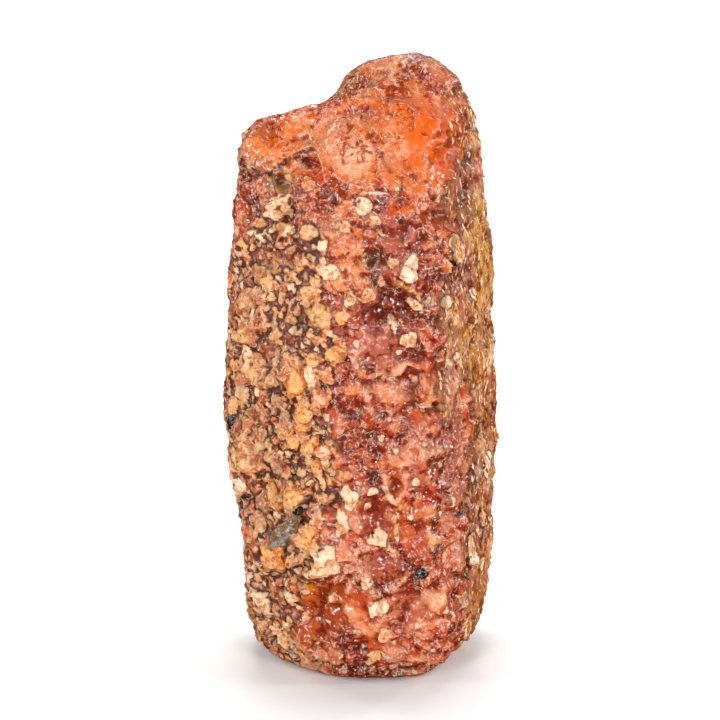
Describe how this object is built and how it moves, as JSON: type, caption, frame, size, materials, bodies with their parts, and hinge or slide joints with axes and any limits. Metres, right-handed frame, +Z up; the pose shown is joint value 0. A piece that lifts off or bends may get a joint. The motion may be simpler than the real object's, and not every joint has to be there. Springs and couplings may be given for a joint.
{
  "type": "rough ruby",
  "caption": "Rough ruby crystal, a barrel-shaped prism with a slanted, domed top and grains of pale matrix, that stands upright on a small flat foot.",
  "frame": {"origin": "on the flat foot, under the middle of the stone's width and depth", "axes": "+Z up along the crystal's length, +X to the right of the pictured side, which faces -Y"},
  "size_m": [0.0166, 0.0146, 0.0374],
  "materials": {
    "ruby": "rough glassy ruby crystal in orange-red and pink, with tan and cream matrix grains grown into it"
  },
  "bodies": {
    "root": {"ruby_crystal": "ruby"}
  },
  "joints": []
}
